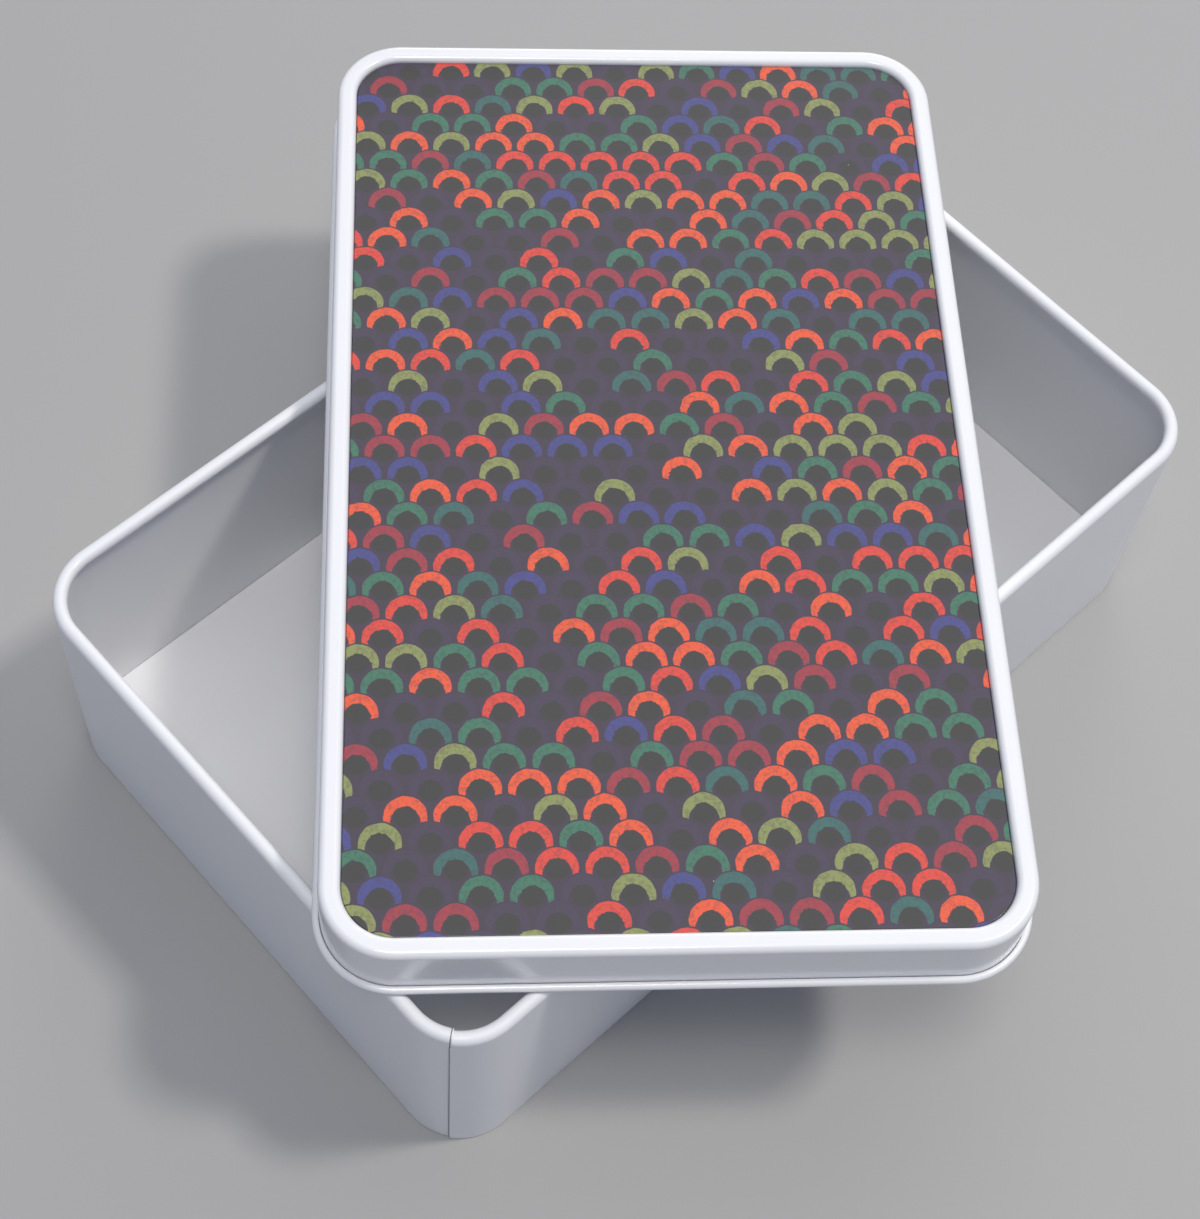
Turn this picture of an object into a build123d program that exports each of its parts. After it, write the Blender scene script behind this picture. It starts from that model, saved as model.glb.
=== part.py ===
"""Two-piece tin box for cards: a wrapped tinplate base with a curled rim and a drawn slip-on lid that
carries a printed panel.  The lid lies loose across the open base.

Frame: millimetres, +Z up, origin at the middle of the base on the plane that it stands on, +X along
the base's long side.

A sheet's section is drawn in (inset, height): inset is measured inwards from the outside of the upright
wall, so a section is the same all round a rounded rectangle.
"""
from build123d import *
import math
import os

# ---------------------------------------------------------------- driving dimensions (mm, degrees)
SHEET = 0.25                # tinplate, enamel included
PLAY = 0.05                 # room left at the end of a folded hook
HOLLOW_CHORD_ANGLE = 60.0   # turn of each chord on the hollow side of a wide bend
TIGHT_CREASE_ANGLE = 32.0   # turn of each crease in a bend too tight to show as round
HEM_CREASE_ANGLE = 90.0     # turn of each crease in a fold that is pressed flat

# base
BASE_LENGTH = 194.0         # over the walls
BASE_WIDTH = 120.0
BASE_HEIGHT = 55.5          # underside to the top of the curled rim
BASE_CORNER = 12.5          # outside radius of the upright corners
RIM_CURL = 2.7              # outside diameter of the inward curl
CURL_GAP = 0.10             # cut edge of a curl to the wall it turns back to

# bottom, locked into the wall by a flat fold
BOTTOM_BEND = 0.6           # outside radius from the wall to the turned-in flange
BOTTOM_FOLD = 4.2           # outside of the wall to the fold's inner edge
BOTTOM_TUCK = 0.6           # outside of the wall to the bottom plate's own fold

# side seam, at the corner (-X, -Y): the wall's two ends hooked into each other and pressed flat
SEAM_ANGLE = 219.0          # direction of the seam line from the corner's centre
SEAM_STEP = 0.35            # how far the outer end stands proud at the seam line
SEAM_BAND = 5.0             # width of the hooked layers
SEAM_SET = 0.3              # bend, on the sheet's middle, where the inner end dips in
SEAM_NOTCH = 0.4            # hooked layers to the curl above and to the floor below
SEAM_LAP_ANGLE = 1.6        # degrees by which the notched ends lap in the curl and the foot

# lid
LID_HEIGHT = 14.2           # bottom of the curl to the top of the frame
LID_CLEARANCE = 0.3         # base wall to the inside of the lid's skirt, each side
LID_CURL = 1.52             # outside diameter of the outward curl
LID_DRAW = 0.2              # how far the skirt leans in, at its top
FRAME_WIDTH = 3.85          # skirt's outside to the wall of the recess
FRAME_SHOULDER = 2.5        # outside radius between the skirt and the frame's top
FRAME_LIP = 0.8             # outside radius between the frame's top and the recess
BED_BEND = 0.3              # inside radius between the recess wall and its bed
BED_RIM = 0.5               # flat of the bed drawn together with the frame
PANEL_DROP = 1.7            # top of the frame to the face of the panel
PANEL_THICK = 0.5
PANEL_GAP = 0.15            # panel edge to the recess wall, each side
GLUE_THICK = 0.12
GLUE_MARGIN = 2.0           # the adhesive stops short of the panel's edge

# how the loose lid lies on the open base
LID_ANGLE = 49.5            # its long axis, anticlockwise from the base's
LID_SHIFT_X = 4.3           # its middle, from the base's middle
LID_SHIFT_Y = 0.8
REST_GAP = 0.25             # rim to the lid's curl

# ---------------------------------------------------------------- sizes that follow
HALF = SHEET / 2
HEM_BEND = SHEET                                # middle radius of a hem folded round one sheet
HEM_OUT = HEM_BEND + HALF                       # the hem's outside radius
FLOOR_TOP = 4 * SHEET                           # four layers lie in the bottom fold
SEAM_BOTTOM = FLOOR_TOP + SEAM_NOTCH
SEAM_TOP = BASE_HEIGHT - RIM_CURL - SEAM_NOTCH
LID_SKIRT_OUT = LID_CLEARANCE + SHEET           # base wall to the skirt's outside
LID_LENGTH = BASE_LENGTH + 2 * LID_SKIRT_OUT    # over the skirt
LID_WIDTH = BASE_WIDTH + 2 * LID_SKIRT_OUT
LID_CORNER = BASE_CORNER + LID_SKIRT_OUT
PANEL_INSET = FRAME_WIDTH + PANEL_GAP           # skirt's outside to the panel's edge
PANEL_TOP = LID_HEIGHT - PANEL_DROP
BED_TOP = PANEL_TOP - PANEL_THICK - GLUE_THICK
LID_SEAT = BASE_HEIGHT + REST_GAP               # height of the lid's curl over the underside


# ---------------------------------------------------------------- sheet sections
def step(point, heading, length):
    """The point a length away from another, along a heading in degrees."""
    a = math.radians(heading)
    return (point[0] + length * math.cos(a), point[1] + length * math.sin(a))


def bend_side(centre, radius, first, turn, chord):
    """One side of a bend as points that each follow an arc's middle, or None after a chord."""
    if chord is None:
        return [(step(centre, first + turn, radius), step(centre, first + turn / 2, radius))]
    count = math.ceil(abs(turn) / chord)
    return [(step(centre, first + turn * (i + 1) / count, radius), None) for i in range(count)]


def outline_edges(outline):
    """Lines and arcs through an outline's points."""
    edges = []
    for (start, _), (end, middle) in zip(outline, outline[1:]):
        edges.append(ThreePointArc(start, middle, end) if middle else Line(start, end))
    return edges


def sheet_section(start, heading, moves, chord=None):
    """Face of a sheet that follows straights, bends and creases.

    start and heading set off along the middle of the sheet.  A move is a length, a pair (radius,
    turn) for a bend on that middle radius, or (0, turn) for a sharp crease after a length.  A turn
    is positive to the left.  The hollow side of a bend is an arc, or chords of at most this turn.
    """
    point = start
    left = [(step(point, heading + 90, HALF), None)]
    right = [(step(point, heading - 90, HALF), None)]
    for move in moves:
        radius, turn = move if isinstance(move, tuple) else (None, 0)
        if radius is None:
            point = step(point, heading, move)
            left.append((step(point, heading + 90, HALF), None))
            right.append((step(point, heading - 90, HALF), None))
        elif radius == 0:
            mitre = HALF / math.cos(math.radians(turn / 2))
            left[-1] = (step(point, heading + turn / 2 + 90, mitre), None)
            right[-1] = (step(point, heading + turn / 2 - 90, mitre), None)
        else:
            way = 90 if turn > 0 else -90
            hollow, round_side = (left, right) if turn > 0 else (right, left)
            centre = step(point, heading + way, radius)
            hollow += bend_side(centre, radius - HALF, heading - way, turn, chord)
            round_side += bend_side(centre, radius + HALF, heading - way, turn, None)
            point = step(centre, heading - way + turn, radius)
        heading += turn
    ends = [Line(left[0][0], right[0][0]), Line(left[-1][0], right[-1][0])]
    return make_face(outline_edges(left) + outline_edges(right) + ends)


def creased(radius, turn, crease=TIGHT_CREASE_ANGLE):
    """Moves for a tight bend, as flats and creases of at most this turn about the same radius."""
    folds = math.ceil(abs(turn) / crease)
    flat = radius * math.tan(math.radians(abs(turn) / folds / 2))
    moves = [flat]
    for _ in range(folds):
        moves += [(0, turn / folds), 2 * flat]
    moves[-1] = flat
    return moves


def curl_turn(diameter):
    """Degrees a curl can turn from the wall's line before its edge meets the wall again."""
    radius = diameter / 2
    return 360 - math.degrees(math.acos(1 - (SHEET + CURL_GAP) / radius))


# ---------------------------------------------------------------- rounded rectangles
def upright(section, origin, along):
    """A section stood up at a point of the outline, facing along it with its inset to the left."""
    inwards = (-along[1], along[0], 0)
    return Plane(origin=origin, x_dir=inwards, z_dir=(along[0], along[1], 0)) * section


def side(section, start, end):
    """A section run straight from one point of the outline to the next."""
    length = math.dist(start, end)
    along = ((end[0] - start[0]) / length, (end[1] - start[1]) / length)
    return extrude(upright(section, (start[0], start[1], 0), along), length, dir=(along[0], along[1], 0))


def corner(section, centre, radius, first, last):
    """A section turned about a corner's upright axis, between two directions in degrees."""
    out = (math.cos(math.radians(first)), math.sin(math.radians(first)))
    start = (centre[0] + radius * out[0], centre[1] + radius * out[1], 0)
    face = upright(section, start, (-out[1], out[0]))
    return revolve(face, Axis((centre[0], centre[1], 0), (0, 0, 1)), last - first)


def corner_centres(length, width, radius):
    """Centres of the four corners with the direction in which each begins, anticlockwise."""
    x = length / 2 - radius
    y = width / 2 - radius
    return [((x, -y), 270), ((x, y), 0), ((-x, y), 90), ((-x, -y), 180)]


def outline_point(centre, radius, direction):
    """The outline's point in a direction from a corner's centre."""
    return step(centre, direction, radius)


def ring(section, length, width, radius):
    """A section taken all round a rounded rectangle, as one solid."""
    corners = corner_centres(length, width, radius)
    parts = []
    for i, (centre, first) in enumerate(corners):
        after = corners[(i + 1) % 4][0]
        parts.append(corner(section, centre, radius, first, first + 90))
        parts.append(
            side(
                section,
                outline_point(centre, radius, first + 90),
                outline_point(after, radius, first + 90),
            )
        )
    return fused(parts)


def fused(parts):
    """One solid made of parts that meet face to face."""
    whole = parts[0].fuse(*parts[1:]).clean()
    return whole.solids()[0]


def plate(length, width, radius, bottom, thickness):
    """A flat rounded-rectangle plate."""
    outline = RectangleRounded(length, width, radius)
    return extrude(Pos(0, 0, bottom) * outline, thickness).solids()[0]


# ---------------------------------------------------------------- base
def rim_section(low):
    """Inward curl of the rim with the wall below it, down to a height, as start, heading and moves."""
    curl = RIM_CURL / 2 - HALF
    turn = curl_turn(RIM_CURL)
    centre = (RIM_CURL / 2, BASE_HEIGHT - RIM_CURL / 2)
    moves = creased(curl, turn - 180) + [(curl, 180), centre[1] - low]
    return step(centre, 180 - turn, curl), -90 - turn, moves


def foot_moves(locked):
    """From the wall into the turned-in flange; locked adds the fold that grips the bottom plate."""
    flange = BOTTOM_FOLD - HEM_OUT - BOTTOM_BEND
    moves = creased(BOTTOM_BEND - HALF, 90) + [flange]
    if locked:
        fold_back = BOTTOM_FOLD - 2 * HEM_OUT - BOTTOM_TUCK - PLAY
        moves += creased(HEM_BEND, 180, HEM_CREASE_ANGLE) + [fold_back]
    return moves


def wall_section(locked):
    """The whole wall, from its rim curl to its flange."""
    start, heading, moves = rim_section(BOTTOM_BEND)
    return sheet_section(start, heading, moves + foot_moves(locked), HOLLOW_CHORD_ANGLE)


def near_corner():
    """Centre of the corner that has the seam."""
    return corner_centres(BASE_LENGTH, BASE_WIDTH, BASE_CORNER)[3][0]


def seam_corner():
    """Centre of the outer end's corner, set over so that it stands proud at the seam line only."""
    centre = near_corner()
    return (centre[0] + SEAM_STEP / math.cos(math.radians(SEAM_ANGLE)), centre[1])


def hook_angle(inset, along):
    """Direction from the seam's corner to a point this far past the seam line, at an inset."""
    return SEAM_ANGLE + math.degrees(along / (BASE_CORNER - inset))


OUTER_FOLD = hook_angle(HEM_OUT, HEM_OUT)                       # where the outer end folds back
INNER_FOLD = hook_angle(HEM_OUT + SHEET, SEAM_BAND - HEM_OUT)   # where the inner end folds back


def outer_hook():
    """Plan of the outer end's hook, folded in at the seam line and run back inside the wall."""
    centre = seam_corner()
    start = step(centre, OUTER_FOLD, BASE_CORNER - HALF)
    back = BASE_CORNER - HALF - 2 * HEM_BEND
    run = INNER_FOLD - OUTER_FOLD - math.degrees(PLAY / back)
    return sheet_section(start, OUTER_FOLD - 90, [(HEM_BEND, -180), (back, run)])


def inner_dip():
    """Where the inner end leaves its corner to dip round the outer fold: direction and two turns."""
    corner_at = near_corner()
    fold_at = step(seam_corner(), OUTER_FOLD, BASE_CORNER - HEM_OUT)
    to_dip = BASE_CORNER - HALF - SEAM_SET
    to_fold = math.dist(corner_at, fold_at)
    bends = SEAM_SET + HEM_OUT + HALF
    spread = math.acos((to_dip**2 + to_fold**2 - bends**2) / (2 * to_dip * to_fold))
    leave = math.degrees(math.atan2(fold_at[1] - corner_at[1], fold_at[0] - corner_at[0]) - spread) % 360
    dip_at = step(corner_at, leave, to_dip)
    across = math.degrees(math.atan2(fold_at[1] - dip_at[1], fold_at[0] - dip_at[0])) % 360
    return leave, across - leave, across - OUTER_FOLD


def inner_hook():
    """Plan of the inner end: it dips under the outer fold, runs inside it and hooks back between."""
    leave, dip, rise = inner_dip()
    start = step(near_corner(), leave, BASE_CORNER - HALF)
    under = BASE_CORNER - 3 * SHEET - HALF
    between = BASE_CORNER - SHEET - HALF
    run = INNER_FOLD - OUTER_FOLD
    moves = [
        (SEAM_SET, dip),
        (HEM_OUT + HALF, -rise),
        (under, run),
        (HEM_BEND, -180),
        (between, math.degrees(PLAY / between) - run),
    ]
    return sheet_section(start, leave + 90, moves)


def hooked(plan):
    """A hook's plan stood up between the foot and the curl."""
    return extrude(Pos(0, 0, SEAM_BOTTOM) * plan, SEAM_TOP - SEAM_BOTTOM, dir=(0, 0, 1))


def seam_curl():
    """Lapped sheet that fills the curl where the two ends of the wall meet."""
    filling = Pos(RIM_CURL / 2, BASE_HEIGHT - RIM_CURL / 2) * Circle((RIM_CURL - SHEET) / 2)
    first = SEAM_ANGLE - SEAM_LAP_ANGLE
    return corner(filling, near_corner(), BASE_CORNER, first, OUTER_FOLD + SEAM_LAP_ANGLE)


def seam_ends():
    """The wall's two ends at the seam: outer end, inner end, their hooks, and the notched laps."""
    near = near_corner()
    plain = wall_section(False)
    rim = sheet_section(*rim_section(SEAM_TOP), HOLLOW_CHORD_ANGLE)
    foot_drop = [SEAM_BOTTOM - BOTTOM_BEND]
    foot = sheet_section((HALF, SEAM_BOTTOM), -90, foot_drop + foot_moves(False), HOLLOW_CHORD_ANGLE)
    leave = inner_dip()[0]
    return [
        corner(plain, seam_corner(), BASE_CORNER, OUTER_FOLD, 270),
        corner(plain, near, BASE_CORNER, 180, leave),
        corner(rim, near, BASE_CORNER, leave, OUTER_FOLD + SEAM_LAP_ANGLE),
        corner(foot, near, BASE_CORNER, leave, OUTER_FOLD + SEAM_LAP_ANGLE),
        hooked(outer_hook()),
        hooked(inner_hook()),
        seam_curl(),
    ]


def body_wall():
    """Wrapped wall of the base with its curled rim, bottom fold and hooked corner seam."""
    locked = wall_section(True)
    corners = corner_centres(BASE_LENGTH, BASE_WIDTH, BASE_CORNER)
    parts = seam_ends()
    start = outline_point(seam_corner(), BASE_CORNER, 270)
    for centre, first in corners[:3]:
        parts.append(side(locked, start, outline_point(centre, BASE_CORNER, first)))
        parts.append(corner(locked, centre, BASE_CORNER, first, first + 90))
        start = outline_point(centre, BASE_CORNER, first + 90)
    parts.append(side(locked, start, outline_point(near_corner(), BASE_CORNER, 180)))
    return fused(parts)


def bottom_plate():
    """Flat bottom whose edge is folded under the wall's flange."""
    fold = BOTTOM_TUCK + HEM_OUT
    hook_end = BOTTOM_FOLD - HEM_OUT - PLAY
    inner = BOTTOM_FOLD + SHEET
    moves = [hook_end - fold] + creased(HEM_BEND, -180, HEM_CREASE_ANGLE) + [inner - fold]
    section = sheet_section((hook_end, SHEET + HALF), 180, moves)
    rim = ring(section, BASE_LENGTH, BASE_WIDTH, BASE_CORNER)
    middle = plate(
        BASE_LENGTH - 2 * inner, BASE_WIDTH - 2 * inner, BASE_CORNER - inner, FLOOR_TOP - SHEET, SHEET
    )
    return fused([rim, middle])


# ---------------------------------------------------------------- lid, in its own frame
def lid_section():
    """Outward curl, skirt, frame and recess wall, down to the bed under the panel."""
    rise = LID_HEIGHT - LID_CURL / 2 - FRAME_SHOULDER
    lean = math.atan2(LID_DRAW, rise)
    up = 90 - math.degrees(lean)

    curl = LID_CURL / 2 - HALF
    turn = curl_turn(LID_CURL)
    centre = (SHEET - LID_CURL / 2, LID_CURL / 2)
    foot = step(centre, up - 90, curl)

    shoulder = FRAME_SHOULDER - HALF
    skirt = (LID_HEIGHT - HALF - foot[1] - shoulder * (1 - math.sin(lean))) / math.cos(lean)
    crown_start = foot[0] + skirt * math.sin(lean) + shoulder * math.cos(lean)

    lip = FRAME_LIP - HALF
    crown = FRAME_WIDTH - HALF - lip - crown_start
    drop = LID_HEIGHT - FRAME_LIP - BED_BEND - BED_TOP
    bed_bend = BED_BEND + HALF
    moves = creased(curl, turn) + [skirt, (shoulder, -up), crown, (lip, -90), drop]
    moves += creased(bed_bend, 90, HEM_CREASE_ANGLE) + [BED_RIM]
    return sheet_section(step(centre, up - 90 - turn, curl), up - turn, moves, HOLLOW_CHORD_ANGLE)


def lid_shell():
    """Drawn lid: curled skirt, raised frame and sunk bed."""
    inner = FRAME_WIDTH + BED_BEND + BED_RIM
    rim = ring(lid_section(), LID_LENGTH, LID_WIDTH, LID_CORNER)
    bed = plate(
        LID_LENGTH - 2 * inner, LID_WIDTH - 2 * inner, LID_CORNER - inner, BED_TOP - SHEET, SHEET
    )
    return fused([rim, bed])


def inlay(inset, bottom, thickness):
    """A flat piece that lies in the frame, this far in from the outside of the skirt."""
    return plate(LID_LENGTH - 2 * inset, LID_WIDTH - 2 * inset, LID_CORNER - inset, bottom, thickness)


# ---------------------------------------------------------------- the assembly
def build():
    """Every piece in its place, by name."""
    lid_place = Location((LID_SHIFT_X, LID_SHIFT_Y, LID_SEAT), (0, 0, LID_ANGLE))
    return {
        "body_wall": body_wall(),
        "bottom_plate": bottom_plate(),
        "lid_shell": lid_place * lid_shell(),
        "lid_panel": lid_place * inlay(PANEL_INSET, PANEL_TOP - PANEL_THICK, PANEL_THICK),
        "panel_adhesive": lid_place * inlay(PANEL_INSET + GLUE_MARGIN, BED_TOP, GLUE_THICK),
    }


os.makedirs("parts", exist_ok=True)
for name, solid in build().items():
    export_step(solid, f"parts/{name}.step")
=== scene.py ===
"""Two-piece tin box for cards, its loose lid laid across the open base.

Fine sheet-metal pieces over the CAD frame, their finishes, and a plain studio.
Frame: metres, +Z up, as the CAD.  Sizes are written in millimetres times MM.
"""
import math

import bmesh
import bpy
from mathutils import Matrix, Vector


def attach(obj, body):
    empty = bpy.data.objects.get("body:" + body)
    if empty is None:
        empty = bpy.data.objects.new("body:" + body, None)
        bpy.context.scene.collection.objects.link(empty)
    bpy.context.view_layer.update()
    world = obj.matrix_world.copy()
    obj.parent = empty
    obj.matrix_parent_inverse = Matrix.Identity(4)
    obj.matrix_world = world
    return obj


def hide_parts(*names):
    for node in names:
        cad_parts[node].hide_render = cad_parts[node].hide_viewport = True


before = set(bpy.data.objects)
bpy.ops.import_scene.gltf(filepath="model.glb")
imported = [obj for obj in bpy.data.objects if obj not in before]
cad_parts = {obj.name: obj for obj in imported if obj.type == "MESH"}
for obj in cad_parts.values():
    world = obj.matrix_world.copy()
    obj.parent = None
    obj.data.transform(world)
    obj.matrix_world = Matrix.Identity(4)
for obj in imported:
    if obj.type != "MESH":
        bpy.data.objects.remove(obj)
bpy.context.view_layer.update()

MM = 0.001

# ---------------------------------------------------------------- sizes that the CAD has too
SHEET = 0.25 * MM           # tinplate, enamel included
HALF = SHEET / 2
PLAY = 0.05 * MM            # room left at the end of a folded hook
CURL_GAP = 0.10 * MM        # cut edge of a curl to the wall it turns back to
HEM_BEND = SHEET            # middle radius of a hem folded round one sheet
HEM_OUT = HEM_BEND + HALF   # the hem's outside radius

BASE_LENGTH = 194.0 * MM    # over the walls
BASE_WIDTH = 120.0 * MM
BASE_HEIGHT = 55.5 * MM     # underside to the top of the curled rim
BASE_CORNER = 12.5 * MM     # outside radius of the upright corners
RIM_CURL = 2.7 * MM         # outside diameter of the inward curl
BOTTOM_BEND = 0.6 * MM      # outside radius from the wall to the turned-in flange
BOTTOM_FOLD = 4.2 * MM      # outside of the wall to the fold's inner edge
BOTTOM_TUCK = 0.6 * MM      # outside of the wall to the end of its own hem
FLOOR_TOP = 4 * SHEET       # four layers lie in the bottom fold

SEAM_ANGLE = 219.0          # direction of the seam line from the corner's centre
SEAM_STEP = 0.35 * MM       # how far the outer end stands proud at the seam line
SEAM_BAND = 5.0 * MM        # width of the hooked layers
SEAM_SET = 0.3 * MM         # bend, on the sheet's middle, where the inner end dips in
SEAM_BOTTOM = 1.4 * MM      # height at which the hooked layers begin
SEAM_TOP = 52.4 * MM        # height at which they end

LID_LENGTH = 195.1 * MM     # over the skirt
LID_WIDTH = 121.1 * MM
LID_CORNER = 13.05 * MM     # outside radius of the upright corners
LID_HEIGHT = 14.2 * MM      # bottom of the curl to the top of the frame
LID_CURL = 1.52 * MM        # outside diameter of the outward curl
LID_DRAW = 0.2 * MM         # how far the skirt leans in, at its top
BED_BEND = 0.3 * MM         # inside radius between the recess wall and its bed
BED_RIM = 0.5 * MM          # flat of the bed drawn together with the frame
BED_TOP = 11.88 * MM        # bottom of the lid's curl to the bed

LID_ANGLE = 49.5            # the lid's long axis, anticlockwise from the base's
LID_PLACE = Vector((4.3, 0.8, 55.75)) * MM

# ---------------------------------------------------------------- sizes finer than the CAD's
RIM_GAP = 0.25 * MM         # between the two ends of the rolled rim and of the foot
PLATE_TUCK = 0.28 * MM      # outside of the wall to the bottom plate's fold
FRAME_WIDTH = 4.0 * MM      # skirt's outside to the wall of the recess
FRAME_SHOULDER = 1.3 * MM   # outside radius between the skirt and the frame's top
FRAME_LIP = 1.2 * MM        # outside radius between the frame's top and the recess
PANEL_INSET = 4.12 * MM     # skirt's outside to the panel's edge
PANEL_TOP = 13.0 * MM       # bottom of the lid's curl to the face of the panel
PANEL_THICK = 1.0 * MM
PANEL_EDGE = 0.12 * MM      # bevel round the panel's two faces

CORNER_STEPS = 24           # flats in a right-angled corner
OUTER_END_STEPS = 13        # flats from the seam's outer fold to the end of its corner
INNER_END_STEPS = 10        # flats from the start of that corner to the dip
RIM_END_STEPS = 3           # flats from the dip to the seam line, in the rim and the foot
EDGE_STEPS = 3              # flats in the panel's bevel
BEND_STEP = 12.0            # degrees of each flat in a bend
SMOOTH_ANGLE = 32           # degrees between two flats that still shade as round
CLOSE = 0.002 * MM          # places nearer to each other than this count as one
DOUBLE = 0.001 * MM         # points nearer to each other than this are merged
LEVEL = 0.9                 # a face whose normal rises by more than this is a top or an underside


# ---------------------------------------------------------------- drawing sheet metal
ORIGIN = Vector((0, 0, 0))
ACROSS = Vector((1, 0, 0))
BACK = Vector((0, 1, 0))
UP = Vector((0, 0, 1))
FROM_FRONT = (BACK, UP)     # plane of a section drawn inwards from the front wall
PLAN = (ACROSS, BACK)       # plane of what is drawn flat, seen from above


def step(point, heading, length):
    """The point a length away from another in a plane, along a heading in degrees."""
    a = math.radians(heading)
    return (point[0] + length * math.cos(a), point[1] + length * math.sin(a))


def to_object_mode():
    """Leaves edit mode with nothing selected."""
    if bpy.context.object and bpy.context.object.mode == "EDIT":
        bpy.ops.object.mode_set(mode="OBJECT")
    bpy.ops.object.select_all(action="DESELECT")


def start_point(name, place):
    """Starts a new piece as one point, open for drawing."""
    to_object_mode()
    bpy.ops.mesh.primitive_plane_add(size=MM, location=place)
    piece = bpy.context.object
    piece.name = name
    bpy.ops.object.transform_apply(location=True, rotation=True, scale=True)
    bpy.ops.object.mode_set(mode="EDIT")
    bpy.ops.mesh.select_mode(type="VERT")
    bpy.ops.mesh.merge(type="CENTER")
    return piece


def swing(centre, axis, degrees, steps):
    """Turns the selected line about an axis and leaves the skin that it sweeps."""
    bpy.ops.mesh.spin(steps=steps, angle=-math.radians(degrees), center=centre, axis=axis)


def pull(way):
    """Draws the selected line out straight."""
    bpy.ops.mesh.extrude_region_move(TRANSFORM_OT_translate={"value": way})


def draw(origin, plane, start, heading, moves):
    """Draws on from the selected point or line in a plane.

    A move is a length, or a bend given as its radius and turn.
    """
    across, up = plane
    point = start
    for move in moves:
        if isinstance(move, tuple):
            radius, turn = move
            way = 90 if turn > 0 else -90
            centre = step(point, heading + way, radius)
            at = origin + across * centre[0] + up * centre[1]
            swing(at, across.cross(up), turn, max(2, math.ceil(abs(turn) / BEND_STEP)))
            point = step(centre, heading - way + turn, radius)
            heading += turn
        else:
            there = step((0, 0), heading, move)
            pull(across * there[0] + up * there[1])
            point = step(point, heading, move)


def near(a, b):
    """True where two measures are the same."""
    return abs(a - b) < CLOSE


def pick(wanted, mode="VERT"):
    """Selects the points of the open piece that pass a test on their place, and nothing else."""
    bpy.ops.mesh.select_mode(type="VERT")
    bpy.ops.mesh.select_all(action="DESELECT")
    shape = bmesh.from_edit_mesh(bpy.context.object.data)
    for point in shape.verts:
        point.select = wanted(point.co)
    shape.select_flush(True)
    shape.select_mode = {"VERT", "EDGE"}
    shape.select_flush_mode()
    bmesh.update_edit_mesh(bpy.context.object.data)
    bpy.ops.mesh.select_mode(type=mode)


def corner_centres(length, width, radius):
    """Centres of the four corners, anticlockwise from the one at +X, -Y."""
    x = length / 2 - radius
    y = width / 2 - radius
    return [Vector((x, -y, 0)), Vector((x, y, 0)), Vector((-x, y, 0)), Vector((-x, -y, 0))]


def outline(centre, radius, direction):
    """The outline's point in a direction from a corner's centre."""
    a = math.radians(direction)
    return centre + Vector((math.cos(a), math.sin(a), 0)) * radius


def take_round(length, width, radius):
    """Takes the selected section all round, from where the corner at +X, -Y begins."""
    centres = corner_centres(length, width, radius)
    for i, centre in enumerate(centres):
        swing(centre, UP, 90, CORNER_STEPS)
        pull(centres[(i + 1) % len(centres)] - centre)
    bpy.ops.mesh.select_all(action="SELECT")
    bpy.ops.mesh.remove_doubles(threshold=DOUBLE)


def fill_inside(half_length, half_width, height):
    """Fills the flat field inside a swept rim, by the rim's inner half sizes and its height."""

    def on_field(place):
        within = abs(place.x) < half_length + CLOSE and abs(place.y) < half_width + CLOSE
        return near(place.z, height) and within

    pick(on_field, "EDGE")
    bpy.ops.mesh.edge_face_add()


def modifier(piece, kind, **settings):
    """Puts a modifier on a piece and applies it."""
    made = piece.modifiers.new(kind.title(), kind)
    for key, value in settings.items():
        setattr(made, key, value)
    bpy.ops.object.modifier_apply(modifier=made.name)


def close_sheet(piece):
    """Gives a drawn skin the sheet's thickness, half to each side."""
    bpy.ops.mesh.select_all(action="SELECT")
    bpy.ops.mesh.normals_make_consistent(inside=False)
    bpy.ops.object.mode_set(mode="OBJECT")
    modifier(
        piece,
        "SOLIDIFY",
        thickness=SHEET,
        offset=0,
        use_even_offset=True,
        use_quality_normals=True,
    )


def lay_on_base(piece):
    """Turns a piece made in the lid's own frame and lays it where the lid lies."""
    piece.rotation_euler = (0, 0, math.radians(LID_ANGLE))
    piece.location = LID_PLACE
    bpy.ops.object.transform_apply(location=True, rotation=True, scale=True)


def smooth_bends(piece):
    """Shades the bends as round and keeps the flats between them flat."""
    bpy.ops.object.shade_smooth_by_angle(angle=math.radians(SMOOTH_ANGLE))
    modifier(piece, "WEIGHTED_NORMAL", keep_sharp=True)


def curl_turn(diameter):
    """Degrees that a curl turns before its cut edge nearly meets the wall again."""
    return 360 - math.degrees(math.acos(1 - (SHEET + CURL_GAP) / (diameter / 2)))


# ---------------------------------------------------------------- base
NEAR_CORNER = corner_centres(BASE_LENGTH, BASE_WIDTH, BASE_CORNER)[3]
SEAM_CORNER = NEAR_CORNER + Vector((SEAM_STEP / math.cos(math.radians(SEAM_ANGLE)), 0, 0))


def hook_angle(inset, along):
    """Direction from the seam's corner to a point this far past the seam line, at an inset."""
    return SEAM_ANGLE + math.degrees(along / (BASE_CORNER - inset))


OUTER_FOLD = hook_angle(HEM_OUT, HEM_OUT)                       # where the outer end folds back
INNER_FOLD = hook_angle(HEM_OUT + SHEET, SEAM_BAND - HEM_OUT)   # where the inner end folds back
HOOK_RUN = INNER_FOLD - OUTER_FOLD


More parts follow.
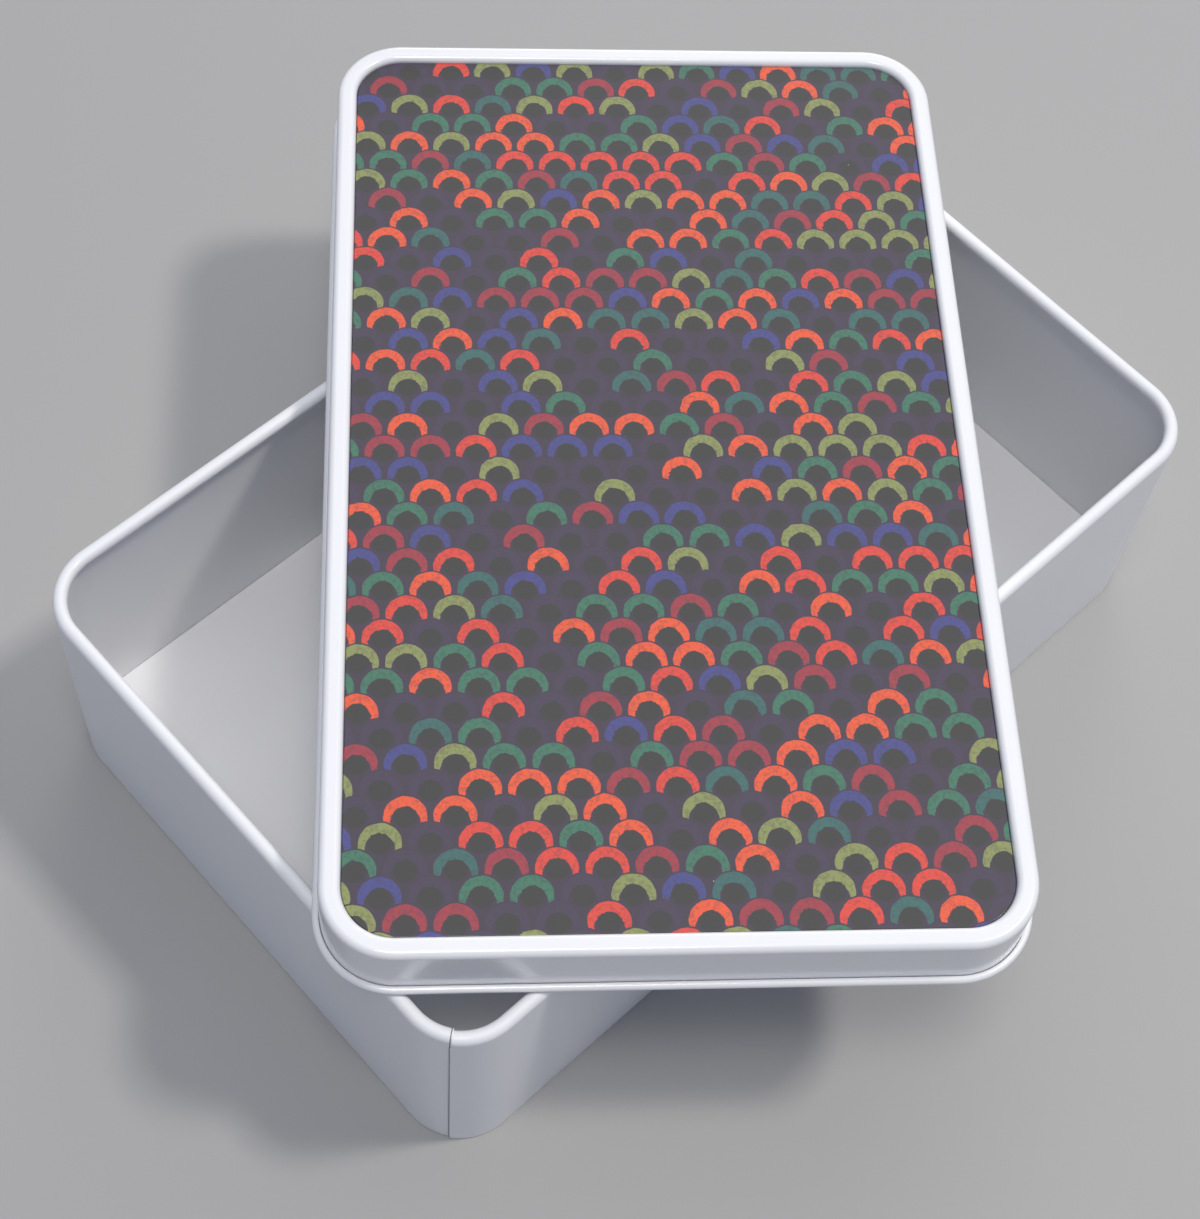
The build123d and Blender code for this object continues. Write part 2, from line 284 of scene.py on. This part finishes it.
def inner_dip():
    """How the wall's inner end dips round the outer fold.

    Gives the direction where it leaves its corner, the turn in and the turn back.
    """
    fold_at = outline(SEAM_CORNER, BASE_CORNER - HEM_OUT, OUTER_FOLD)
    to_dip = BASE_CORNER - HALF - SEAM_SET
    to_fold = (fold_at - NEAR_CORNER).length
    bends = SEAM_SET + HEM_OUT + HALF
    spread = math.acos((to_dip**2 + to_fold**2 - bends**2) / (2 * to_dip * to_fold))
    towards = fold_at - NEAR_CORNER
    leave = math.degrees(math.atan2(towards.y, towards.x) - spread) % 360
    over = fold_at - outline(NEAR_CORNER, to_dip, leave)
    across = math.degrees(math.atan2(over.y, over.x)) % 360
    return leave, across - leave, across - OUTER_FOLD


DIP_AT, DIP_TURN, RISE_TURN = inner_dip()


def wall_section_moves():
    """From the curl's cut edge down the wall to the end of the flange under the box.

    Gives the start, the heading and the moves.
    """
    curl = RIM_CURL / 2 - HALF
    turn = curl_turn(RIM_CURL)
    middle = BASE_HEIGHT - RIM_CURL / 2
    start = step((RIM_CURL / 2, middle), 180 - turn, curl)
    flange = BOTTOM_FOLD - HEM_OUT - BOTTOM_BEND
    moves = [(curl, turn), middle - SEAM_TOP, SEAM_TOP - SEAM_BOTTOM, SEAM_BOTTOM - BOTTOM_BEND]
    moves += [(BOTTOM_BEND - HALF, 90), flange]
    return start, -90 - turn, moves


def ring_test(centre, direction, low=0.0, high=BASE_HEIGHT):
    """Test for points on the upright plane that leaves a corner's centre in a direction."""
    out = outline(ORIGIN, 1, direction)

    def wanted(place):
        to = place - centre
        beside = to.x * out.y - to.y * out.x
        beyond = to.x * out.x + to.y * out.y
        in_plane = near(beside, 0) and 0 < beyond < 2 * BASE_CORNER
        return in_plane and low - CLOSE < place.z < high + CLOSE

    return wanted


def fold_hem():
    """Turns the flange's end back, at the seam's corner, as the hem that grips the bottom."""
    here = outline(SEAM_CORNER, BASE_CORNER, 270)
    flange_end = BOTTOM_FOLD - HEM_OUT
    in_section = ring_test(SEAM_CORNER, 270, high=HALF)
    pick(lambda place: in_section(place) and near(place.y - here.y, flange_end))
    hem = [(HEM_BEND, 180), BOTTOM_FOLD - 2 * HEM_OUT - BOTTOM_TUCK - PLAY]
    draw(here, FROM_FRONT, (flange_end, HALF), 0, hem)


def wrap_wall():
    """Takes the wall and its hem round to the near corner, and the wall alone on to the dip."""
    pick(ring_test(SEAM_CORNER, 270))
    before = SEAM_CORNER
    for centre in corner_centres(BASE_LENGTH, BASE_WIDTH, BASE_CORNER)[:3]:
        pull(centre - before)
        swing(centre, UP, 90, CORNER_STEPS)
        before = centre
    pull(NEAR_CORNER - before)

    in_section = ring_test(NEAR_CORNER, 180)

    def in_hem(place):
        return HALF + CLOSE < place.z < FLOOR_TOP and place.x > -BASE_LENGTH / 2 + BOTTOM_BEND

    pick(lambda place: in_section(place) and not in_hem(place))
    swing(NEAR_CORNER, UP, DIP_AT - 180, INNER_END_STEPS)


def hook_outer_end():
    """Folds the outer end in at the seam line and runs it back inside the wall."""
    back = BASE_CORNER - HALF - 2 * HEM_BEND
    back_run = HOOK_RUN - math.degrees(PLAY / back)
    at = outline(SEAM_CORNER, BASE_CORNER - HALF, OUTER_FOLD)
    pick(ring_test(SEAM_CORNER, OUTER_FOLD, SEAM_BOTTOM, SEAM_TOP))
    draw(ORIGIN, PLAN, (at.x, at.y), OUTER_FOLD - 90, [(HEM_BEND, -180), (back, back_run)])


def hook_inner_end():
    """Runs the curl and the foot on to the seam line.  The wall between them dips and hooks."""
    to_seam = OUTER_FOLD - DIP_AT - math.degrees(RIM_GAP / BASE_CORNER)
    for rim_or_foot in (
        ring_test(NEAR_CORNER, DIP_AT, low=SEAM_TOP),
        ring_test(NEAR_CORNER, DIP_AT, high=SEAM_BOTTOM),
    ):
        pick(rim_or_foot)
        swing(NEAR_CORNER, UP, to_seam, RIM_END_STEPS)

    under = BASE_CORNER - 3 * SHEET - HALF      # radius of the layer under the outer end's two
    between = BASE_CORNER - SHEET - HALF        # radius of the layer tucked between those two
    hook = [(SEAM_SET, DIP_TURN), (HEM_OUT + HALF, -RISE_TURN), (under, HOOK_RUN)]
    hook += [(HEM_BEND, -180), (between, math.degrees(PLAY / between) - HOOK_RUN)]
    at = outline(NEAR_CORNER, BASE_CORNER - HALF, DIP_AT)
    pick(ring_test(NEAR_CORNER, DIP_AT, SEAM_BOTTOM, SEAM_TOP))
    draw(ORIGIN, PLAN, (at.x, at.y), DIP_AT + 90, hook)


def base_wall():
    """Wrapped wall with its curled rim and flat-folded foot, hooked to itself at a corner."""
    start, heading, moves = wall_section_moves()
    inwards = -outline(ORIGIN, 1, OUTER_FOLD)
    origin = outline(SEAM_CORNER, BASE_CORNER, OUTER_FOLD)
    piece = start_point("base_wall", origin + inwards * start[0] + UP * start[1])
    draw(origin, (inwards, UP), start, heading, moves)
    bpy.ops.mesh.select_all(action="SELECT")
    swing(SEAM_CORNER, UP, 270 - OUTER_FOLD, OUTER_END_STEPS)
    fold_hem()
    wrap_wall()
    hook_outer_end()
    hook_inner_end()
    close_sheet(piece)
    smooth_bends(piece)
    return piece


def base_bottom():
    """Flat bottom whose edge is folded under, inside the wall's hem."""
    fold = PLATE_TUCK + HEM_OUT
    hook_end = BOTTOM_FOLD - HEM_OUT - PLAY
    inner = BOTTOM_FOLD + SHEET
    first = corner_centres(BASE_LENGTH, BASE_WIDTH, BASE_CORNER)[0]
    origin = outline(first, BASE_CORNER, 270)
    start = (hook_end, SHEET + HALF)
    piece = start_point("base_bottom", origin + BACK * start[0] + UP * start[1])
    moves = [hook_end - fold, (HEM_BEND, -180), inner - fold]
    draw(origin, FROM_FRONT, start, 180, moves)
    bpy.ops.mesh.select_all(action="SELECT")
    take_round(BASE_LENGTH, BASE_WIDTH, BASE_CORNER)
    fill_inside(BASE_LENGTH / 2 - inner, BASE_WIDTH / 2 - inner, SHEET + HALF + 2 * HEM_BEND)
    close_sheet(piece)
    smooth_bends(piece)
    return piece


# ---------------------------------------------------------------- lid, made in its own frame
def lid_section_moves():
    """From the curl's cut edge up the skirt, over the frame and down to the bed.

    Gives the start, the heading and the moves.
    """
    rise = LID_HEIGHT - LID_CURL / 2 - FRAME_SHOULDER
    lean = math.atan2(LID_DRAW, rise)
    up = 90 - math.degrees(lean)
    curl = LID_CURL / 2 - HALF
    turn = curl_turn(LID_CURL)
    centre = (SHEET - LID_CURL / 2, LID_CURL / 2)
    foot = step(centre, up - 90, curl)
    shoulder = FRAME_SHOULDER - HALF
    skirt = (LID_HEIGHT - HALF - foot[1] - shoulder * (1 - math.sin(lean))) / math.cos(lean)
    crown_start = foot[0] + skirt * math.sin(lean) + shoulder * math.cos(lean)
    lip = FRAME_LIP - HALF
    crown = FRAME_WIDTH - HALF - lip - crown_start
    drop = LID_HEIGHT - FRAME_LIP - BED_BEND - BED_TOP
    moves = [(curl, turn), skirt, (shoulder, -up), crown, (lip, -90), drop]
    moves += [(BED_BEND + HALF, 90), BED_RIM]
    return step(centre, up - 90 - turn, curl), up - turn, moves


def lid_skin():
    """Drawn lid: outward curl, skirt, raised rounded frame and sunk bed."""
    start, heading, moves = lid_section_moves()
    first = corner_centres(LID_LENGTH, LID_WIDTH, LID_CORNER)[0]
    origin = outline(first, LID_CORNER, 270)
    piece = start_point("lid_skin", origin + BACK * start[0] + UP * start[1])
    draw(origin, FROM_FRONT, start, heading, moves)
    bpy.ops.mesh.select_all(action="SELECT")
    take_round(LID_LENGTH, LID_WIDTH, LID_CORNER)
    inner = FRAME_WIDTH + BED_BEND + BED_RIM
    fill_inside(LID_LENGTH / 2 - inner, LID_WIDTH / 2 - inner, BED_TOP - HALF)
    close_sheet(piece)
    lay_on_base(piece)
    smooth_bends(piece)
    return piece


def printed_panel():
    """Printed plate that lies in the frame, its face just under the frame's top."""
    to_object_mode()
    middle = PANEL_TOP - PANEL_THICK / 2
    bpy.ops.mesh.primitive_cube_add(size=1, location=(0, 0, middle))
    piece = bpy.context.object
    piece.name = "printed_panel"
    piece.scale = (LID_LENGTH - 2 * PANEL_INSET, LID_WIDTH - 2 * PANEL_INSET, PANEL_THICK)
    bpy.ops.object.transform_apply(location=True, rotation=True, scale=True)
    bpy.ops.object.mode_set(mode="EDIT")
    bpy.ops.mesh.select_mode(type="EDGE")
    bpy.ops.mesh.select_all(action="DESELECT")
    shape = bmesh.from_edit_mesh(piece.data)
    for edge in shape.edges:
        low, high = (end.co for end in edge.verts)
        edge.select = near(low.x, high.x) and near(low.y, high.y)
    bmesh.update_edit_mesh(piece.data)
    bpy.ops.mesh.bevel(offset=LID_CORNER - PANEL_INSET, segments=CORNER_STEPS, affect="EDGES")
    bpy.ops.mesh.select_mode(type="FACE")
    bpy.ops.mesh.select_all(action="DESELECT")
    shape = bmesh.from_edit_mesh(piece.data)
    for face in shape.faces:
        face.select = abs(face.normal.z) > LEVEL
    bmesh.update_edit_mesh(piece.data)
    bpy.ops.mesh.region_to_loop()
    bpy.ops.mesh.bevel(offset=PANEL_EDGE, segments=EDGE_STEPS, affect="EDGES")
    bpy.ops.object.mode_set(mode="OBJECT")
    lay_on_base(piece)
    smooth_bends(piece)
    return piece


# ---------------------------------------------------------------- finishes
class Signal:
    """A value that varies over a surface, with arithmetic."""

    def __init__(self, nodes, socket):
        self.nodes = nodes
        self.socket = socket

    def __getitem__(self, output):
        return Signal(self.nodes, self.socket.node.outputs[output])

    def __add__(self, other):
        return self.nodes.maths("ADD", self, other)

    def __radd__(self, other):
        return self.nodes.maths("ADD", other, self)

    def __sub__(self, other):
        return self.nodes.maths("SUBTRACT", self, other)

    def __rsub__(self, other):
        return self.nodes.maths("SUBTRACT", other, self)

    def __mul__(self, other):
        return self.nodes.maths("MULTIPLY", self, other)

    def __rmul__(self, other):
        return self.nodes.maths("MULTIPLY", other, self)

    def __truediv__(self, other):
        return self.nodes.maths("DIVIDE", self, other)

    def __rtruediv__(self, other):
        return self.nodes.maths("DIVIDE", other, self)


class Nodes:
    """The nodes of a material or of the surroundings, while they are put together."""

    def __init__(self, owner):
        owner.use_nodes = True
        self.owner = owner
        self.tree = owner.node_tree
        self.tree.nodes.clear()

    def node(self, kind, settings=None, sockets=None):
        """Any node: its type, its settings, and the values or links of its live sockets."""
        made = self.tree.nodes.new("ShaderNode" + kind)
        for key, value in (settings or {}).items():
            if key == "stops":
                ramp = made.color_ramp
                while len(ramp.elements) < len(value):
                    ramp.elements.new(1.0)
                for element, (position, colour) in zip(ramp.elements, value):
                    element.position = position
                    element.color = (*colour, 1)
            elif key == "between_stops":
                made.color_ramp.interpolation = value
            else:
                setattr(made, key, value)
        live = [socket for socket in made.inputs if socket.enabled]
        for key, value in (sockets or {}).items():
            if isinstance(key, int):
                socket = live[key]
            else:
                socket = next(socket for socket in live if socket.name == key)
            if isinstance(value, Signal):
                self.tree.links.new(value.socket, socket)
            else:
                socket.default_value = value
        given = [socket for socket in made.outputs if socket.enabled]
        return Signal(self, given[0]) if given else None

    def maths(self, operation, *values):
        """One step of arithmetic."""
        return self.node("Math", {"operation": operation}, dict(enumerate(values)))


class Finish(Nodes):
    """A material, with the steps that several finishes share."""

    def __init__(self, name):
        super().__init__(bpy.data.materials.new(name))

    def place(self, centre, turn):
        """The place on a piece in millimetres, from a centre and along turned axes."""
        sockets = {
            "Vector": self.node("TexCoord")["Object"],
            "Location": centre,
            "Rotation": (0, 0, math.radians(turn)),
            "Scale": (MM, MM, MM),
        }
        return self.node("Mapping", {"vector_type": "TEXTURE"}, sockets)

    def squeeze(self, place, scale):
        """The place, squeezed or stretched along each axis."""
        return self.node("Mapping", {"vector_type": "POINT"}, {"Vector": place, "Scale": scale})

    def axes(self, place):
        """The place's measures along X, Y and Z."""
        return self.node("SeparateXYZ", None, {"Vector": place})

    def noise(self, place, scale, detail=2.0, roughness=0.5):
        """Soft chance variation from 0 to 1."""
        sockets = {"Vector": place, "Scale": scale, "Detail": detail, "Roughness": roughness}
        return self.node("TexNoise", None, sockets)

    def smooth(self, value, low, high):
        """0 below one limit, 1 above the other, eased between them."""
        sockets = {"Value": value, "From Min": low, "From Max": high}
        return self.node("MapRange", {"interpolation_type": "SMOOTHSTEP"}, sockets)

    def blend(self, share, first, second):
        """One colour turned into another by a share."""
        return self.node("Mix", {"data_type": "RGBA"}, {"Factor": share, "A": first, "B": second})

    def bump(self, height, distance, strength):
        """Relief too fine for the mesh."""
        sockets = {"Height": height, "Distance": distance, "Strength": strength}
        return self.node("Bump", None, sockets)

    def finish_with(self, **sockets):
        """Ends in the surface shader and gives back the material."""
        named = {key.replace("_", " "): value for key, value in sockets.items()}
        surface = self.node("BsdfPrincipled", None, named)
        self.node("OutputMaterial", None, {"Surface": surface})
        return self.owner


ENAMEL_DULL = (0.855, 0.86, 0.885, 1)
ENAMEL_BRIGHT = (0.89, 0.895, 0.915, 1)
ENAMEL_SCUFFED = (0.62, 0.61, 0.60, 1)
# dark line along the seam's crevice: painted shade, partly a dark bare edge
SEAM_SHADE_AND_EDGE = (0.05, 0.05, 0.06, 1)
SEAM_SHADE_REACH = 0.2           # millimetres either side of the seam line
SEAM_SHADE_START = (1, 2)        # millimetres out from the corner's centre, where it sets in
BASE_SHEEN = (0.42, 0.2)    # roughness of the enamel, weight of the gloss on it
LID_SHEEN = (0.24, 0.75)
FOOT_SCUFFS = (0.5, 3.5)    # heights in millimetres between which the scuffs end
CURL_SCUFFS = (0.2, 1.6)
NO_SCUFFS = (-2.0, -1.0)


def gloss_enamel(name, centre, turn, sheen, scuffs, seam=None):
    """White stoved enamel on tinplate: faint orange peel, slight clouding, light scuffs.

    An upright seam, given by its corner's centre and its direction, gets a dark line along its
    crevice: painted shade, partly a dark bare edge.
    """
    rough, gloss = sheen
    enamel = Finish(name)
    place = enamel.place(centre, turn)
    cloud = enamel.noise(place, 0.035, 3.0)
    peel = enamel.noise(place, 0.9, 2.0, 0.45)
    grain = enamel.noise(place, 5.0, 3.0, 0.6)
    streaks = enamel.noise(enamel.squeeze(place, (0.25, 0.25, 2.4)), 1.1, 5.0, 0.7)
    scratch = enamel.smooth(streaks, 0.62, 0.78)
    unscuffed = enamel.smooth(enamel.axes(place)["Z"], *scuffs)
    rub = (1 - unscuffed) * enamel.smooth(enamel.noise(place, 0.5, 4.0, 0.65), 0.5, 0.75)
    white = enamel.blend(cloud, ENAMEL_DULL, ENAMEL_BRIGHT)
    worn = enamel.blend(rub * 0.35 + scratch * 0.06, white, ENAMEL_SCUFFED)
    if seam:
        # painted shade along the seam's crevice, partly a dark bare edge
        from_corner = enamel.axes(enamel.place(*seam))
        aside = enamel.maths("ABSOLUTE", from_corner["Y"] - SEAM_SHADE_REACH / 2)
        off_seam_line = enamel.smooth(aside + 0.1 * cloud, SEAM_SHADE_REACH / 2, SEAM_SHADE_REACH)
        seam_line_shade = enamel.smooth(from_corner["X"], *SEAM_SHADE_START) * (1 - off_seam_line)
        worn = enamel.blend(seam_line_shade * 0.9, worn, SEAM_SHADE_AND_EDGE)
    return enamel.finish_with(
        Base_Color=worn,
        Roughness=rough + 0.10 * cloud + 0.22 * rub + 0.05 * grain,
        Coat_Weight=gloss * (1 - 0.6 * rub),
        Coat_Roughness=0.08,
        IOR=1.5,
        Normal=enamel.bump(peel + 0.12 * grain, 0.006 * MM, 0.6),
    )


# the printed arches, in millimetres
ARCH_PITCH = 8.4            # from arch to arch along a row
ARCH_RISE = 4.8             # from row to row
ARCH_RADIUS = 3.98          # from an arch's middle to its outer edge
ARCH_THIN = 0.60            # width of its ink at the ends
ARCH_SWELL = 1.45           # how much wider the ink is at the crown
ARCH_OUTER = (ARCH_RADIUS - 0.36, ARCH_RADIUS - 0.24)   # reach where the ink ends
ARCH_INNER = (ARCH_RADIUS - 0.15, ARCH_RADIUS)          # reach and width where it begins
ARCH_CROWN = (-3.2, 2.0)    # heights over its middle between which the ink widens
ARCH_ENDS = (-2.9, -2.4)    # heights over its middle between which the ink sets in
INKS = (
    (0.00, (0.90, 0.095, 0.018)),       # orange
    (0.14, (0.80, 0.050, 0.022)),       # red
    (0.24, (0.37, 0.022, 0.040)),       # plum
    (0.34, (0.030, 0.175, 0.100)),      # green
    (0.48, (0.265, 0.300, 0.085)),      # olive
    (0.60, (0.045, 0.050, 0.240)),      # blue
    (0.69, (0.022, 0.130, 0.115)),      # teal
    (0.76, (0.036, 0.022, 0.058)),      # near black
)
GROUND_INSIDE = (0.017, 0.017, 0.018, 1)
GROUND_OUTSIDE = (0.031, 0.018, 0.042, 1)
GROUND_TURN = (ARCH_RADIUS - 2.2, ARCH_RADIUS - 1.6)    # reach where one becomes the other
DUST = (0.75, 0.76, 0.78, 1)


def arch_beside(sheet, along, up, row):
    """A row's nearest arch: the distance from its middle, the height over it, and its cell."""
    odd = sheet.maths("FLOORED_MODULO", row, 2.0) * 0.5
    count = along / ARCH_PITCH - odd
    column = sheet.maths("ROUND", count)
    aside = (count - column) * ARCH_PITCH
    above = up - row * ARCH_RISE
    reach = sheet.maths("SQRT", aside * aside + above * above)
    cell = sheet.node("CombineXYZ", None, {"X": column + odd, "Y": row, "Z": 0.5})
    return reach, above, cell


def scale_print(name, centre, turn):
    """Printed sheet under a gloss coat: rows of plain overlapping arches in mixed inks."""
    sheet = Finish(name)
    place = sheet.place(centre, turn)
    axes = sheet.axes(place)
    wobble = sheet.noise(place, 0.55, 3.0, 0.6)
    along = axes["Y"] + 0.5 * wobble
    up = axes["X"] + 0.5 * wobble

    # of the two rows that can reach a place, the lower one lies in front
    row = sheet.maths("FLOOR", up / ARCH_RISE)
    front_reach, front_above, front_cell = arch_beside(sheet, along, up, row)
    back_reach, back_above, back_cell = arch_beside(sheet, along, up, row + 1)
    front = sheet.maths("LESS_THAN", front_reach, ARCH_RADIUS)
    reach = front_reach * front + back_reach * (1 - front)
    above = front_above * front + back_above * (1 - front)
    cell = sheet.node(
        "Mix", {"data_type": "VECTOR"}, {"Factor": front, "A": back_cell, "B": front_cell}
    )
    chance = sheet.node("TexWhiteNoise", {"noise_dimensions": "3D"}, {"Vector": cell})
    ink = sheet.node("ValToRGB", {"between_stops": "CONSTANT", "stops": INKS}, {"Fac": chance})

    # each arch is thick at its crown, thin at its ends, and chalky at its edges
    chalk = sheet.noise(place, 1.5, 4.0, 0.7)
    dots = sheet.noise(place, 9.0, 1.0)
    outer = 1 - sheet.smooth(reach + 0.35 * (chalk - 0.5), *ARCH_OUTER)
    thick = ARCH_THIN + ARCH_SWELL * sheet.smooth(above, *ARCH_CROWN)
    inner = sheet.smooth(reach + 0.7 * (chalk - 0.5) + thick, *ARCH_INNER)
    arc = outer * inner * sheet.smooth(above, *ARCH_ENDS)
    chalky = 0.62 + 0.38 * sheet.smooth(chalk, 0.36, 0.56)
    inked = arc * chalky * (0.85 + 0.15 * sheet.smooth(dots, 0.4, 0.6))

    ground = sheet.blend(sheet.smooth(reach, *GROUND_TURN), GROUND_INSIDE, GROUND_OUTSIDE)
    printed = sheet.blend(inked, ground, ink)
    specks = sheet.node("TexVoronoi", {"feature": "F1"}, {"Vector": place, "Scale": 0.045})
    dust = 1 - sheet.smooth(specks["Distance"], 0.0035, 0.006)
    return sheet.finish_with(
        Base_Color=sheet.blend(dust, printed, DUST),
        Roughness=0.34 + 0.12 * chalk + 0.3 * dust,
        Coat_Weight=1 - 0.8 * dust,
        Coat_Roughness=0.12,
        Coat_IOR=1.5,
        IOR=1.5,
        Specular_IOR_Level=0.15,
        Normal=sheet.bump(sheet.noise(place, 0.25, 2.0) + 0.05 * dots, 0.01 * MM, 0.35),
    )


ADHESIVE_YELLOWED = (0.62, 0.57, 0.45, 1)
ADHESIVE_MILKY = (0.80, 0.77, 0.68, 1)


def brushed_adhesive(name, centre, turn):
    """Thin milky adhesive, brushed on in uneven strokes."""
    glue = Finish(name)
    place = glue.place(centre, turn)
    brush = glue.noise(glue.squeeze(place, (0.15, 1.4, 1.0)), 1.0, 4.0, 0.6)
    bubbles = glue.smooth(glue.noise(place, 3.0, 2.0), 0.58, 0.66)
    return glue.finish_with(
        Base_Color=glue.blend(brush, ADHESIVE_YELLOWED, ADHESIVE_MILKY),
        Roughness=0.30 + 0.25 * brush + 0.1 * bubbles,
        Normal=glue.bump(brush + 0.3 * bubbles, 0.03 * MM, 0.8),
    )


# ---------------------------------------------------------------- the pieces in their places
def give(piece, material):
    """Puts one finish all over a piece."""
    piece.data.materials.clear()
    piece.data.materials.append(material)


side_seam = (SEAM_CORNER, SEAM_ANGLE)
base_white = gloss_enamel("base_white_enamel", ORIGIN, 0, BASE_SHEEN, FOOT_SCUFFS, side_seam)
floor_white = gloss_enamel("floor_white_enamel", ORIGIN, 0, BASE_SHEEN, NO_SCUFFS)
lid_white = gloss_enamel("lid_white_enamel", LID_PLACE, LID_ANGLE, LID_SHEEN, CURL_SCUFFS)
arch_print = scale_print("arch_print", LID_PLACE, LID_ANGLE)
milky_glue = brushed_adhesive("milky_adhesive", LID_PLACE, LID_ANGLE)

for piece, node, body, slot, finish in (
    (base_wall(), "body_wall", "base", "white_enamel", base_white),
    (base_bottom(), "bottom_plate", "base", "white_enamel", floor_white),
    (lid_skin(), "lid_shell", "lid", "white_enamel", lid_white),
    (printed_panel(), "lid_panel", "lid", "printed_panel", arch_print),
):
    give(piece, finish)
    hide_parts(node)
    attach(piece, body)

for material_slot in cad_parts["panel_adhesive"].material_slots:
    material_slot.material = milky_glue


# ---------------------------------------------------------------- studio
FLOOR_SIZE = 8              # metres, well past the view
FLOOR_GREY = (0.405, 0.40, 0.395, 1)
FLOOR_PALE_GREY = (0.435, 0.43, 0.42, 1)
ROOM_LIGHT = (0.62, 0.74, 1.0, 1)       # what falls on the object from all round
ROOM_LIGHT_POWER = 0.31
PALE_ROOM = (0.76, 0.76, 0.78, 1)       # what the eye and the gloss see
WHITE_LIGHT = (1.0, 1.0, 1.0)
WARM_LIGHT = (1.0, 0.96, 0.90)
SOFT_WARM_LIGHT = (1.0, 0.96, 0.91)
FAINT_WARM_LIGHT = (1.0, 0.965, 0.92)


def studio_floor():
    """Plain pale floor with a slight drift of tone."""
    to_object_mode()
    bpy.ops.mesh.primitive_plane_add(size=FLOOR_SIZE, location=(0, 0, 0))
    floor = bpy.context.object
    floor.name = "studio_floor"
    paint = Finish("pale_floor")
    drift = paint.noise(paint.node("TexCoord")["Object"], 1.5)
    tone = paint.blend(drift, FLOOR_GREY, FLOOR_PALE_GREY)
    give(floor, paint.finish_with(Base_Color=tone, Roughness=0.75))


def surroundings():
    """Plain pale surroundings: gentle light on the object, pale to the eye and in the gloss."""
    world = bpy.data.worlds.new("pale_surroundings")
    bpy.context.scene.world = world
    room = Nodes(world)
    ray = room.node("LightPath")
    seen = ray["Is Camera Ray"] + ray["Is Glossy Ray"]
    sockets = {0: seen, 1: ray["Is Transmission Ray"]}
    shown = room.node("Math", {"operation": "ADD", "use_clamp": True}, sockets)
    light = room.node("Background", None, {"Color": ROOM_LIGHT, "Strength": ROOM_LIGHT_POWER})
    pale = room.node("Background", None, {"Color": PALE_ROOM, "Strength": 1.0})
    both = room.node("MixShader", None, {0: shown, 1: light, 2: pale})
    room.node("OutputWorld", None, {"Surface": both})


def softbox(name, place, sides, watts, colour, turn=0, tip=0):
    """Area lamp that faces straight down, or is tipped and then turned, in degrees."""
    lamp = bpy.data.lights.new(name, "AREA")
    lamp.shape = "RECTANGLE"
    lamp.size, lamp.size_y = sides
    lamp.energy = watts
    lamp.color = colour
    holder = bpy.data.objects.new(name, lamp)
    bpy.context.scene.collection.objects.link(holder)
    holder.location = place
    holder.rotation_euler = (math.radians(tip), 0, math.radians(turn))


def camera():
    """Camera above the box, towards the corner with the seam."""
    lens = bpy.data.cameras.new("camera")
    lens.lens = 69.826
    lens.sensor_width = 36
    lens.shift_x = -0.0123
    lens.shift_y = -0.12
    lens.clip_start = 0.01
    holder = bpy.data.objects.new("camera", lens)
    bpy.context.scene.collection.objects.link(holder)
    right = Vector((0.73174979, -0.67873445, 0.06214337))
    up = Vector((0.55448628, 0.64584719, 0.52481079))
    back = Vector((-0.39634228, -0.34957253, 0.84894748))
    turned = Matrix((right, up, back)).transposed().to_4x4()
    turned.translation = Vector((-176.147, -148.53, 438.696)) * MM
    holder.matrix_world = turned
    bpy.context.scene.camera = holder


studio_floor()
surroundings()
softbox("far_softbox", (0.569, 0.365, 1.35), (1.25, 1.1), 3.35, WHITE_LIGHT, turn=68.9)
softbox("back_softbox", (1.25, 1.05, 0.75), (0.8, 0.8), 6, SOFT_WARM_LIGHT, turn=-50, tip=-65)
softbox("right_softbox", (0.884, -0.742, 2.217), (0.3, 0.3), 26, WARM_LIGHT)
softbox("near_softbox", (-0.28, -0.24, 1.6), (0.4, 0.4), 7.5, FAINT_WARM_LIGHT)
camera()
bpy.context.scene.view_settings.view_transform = "Standard"
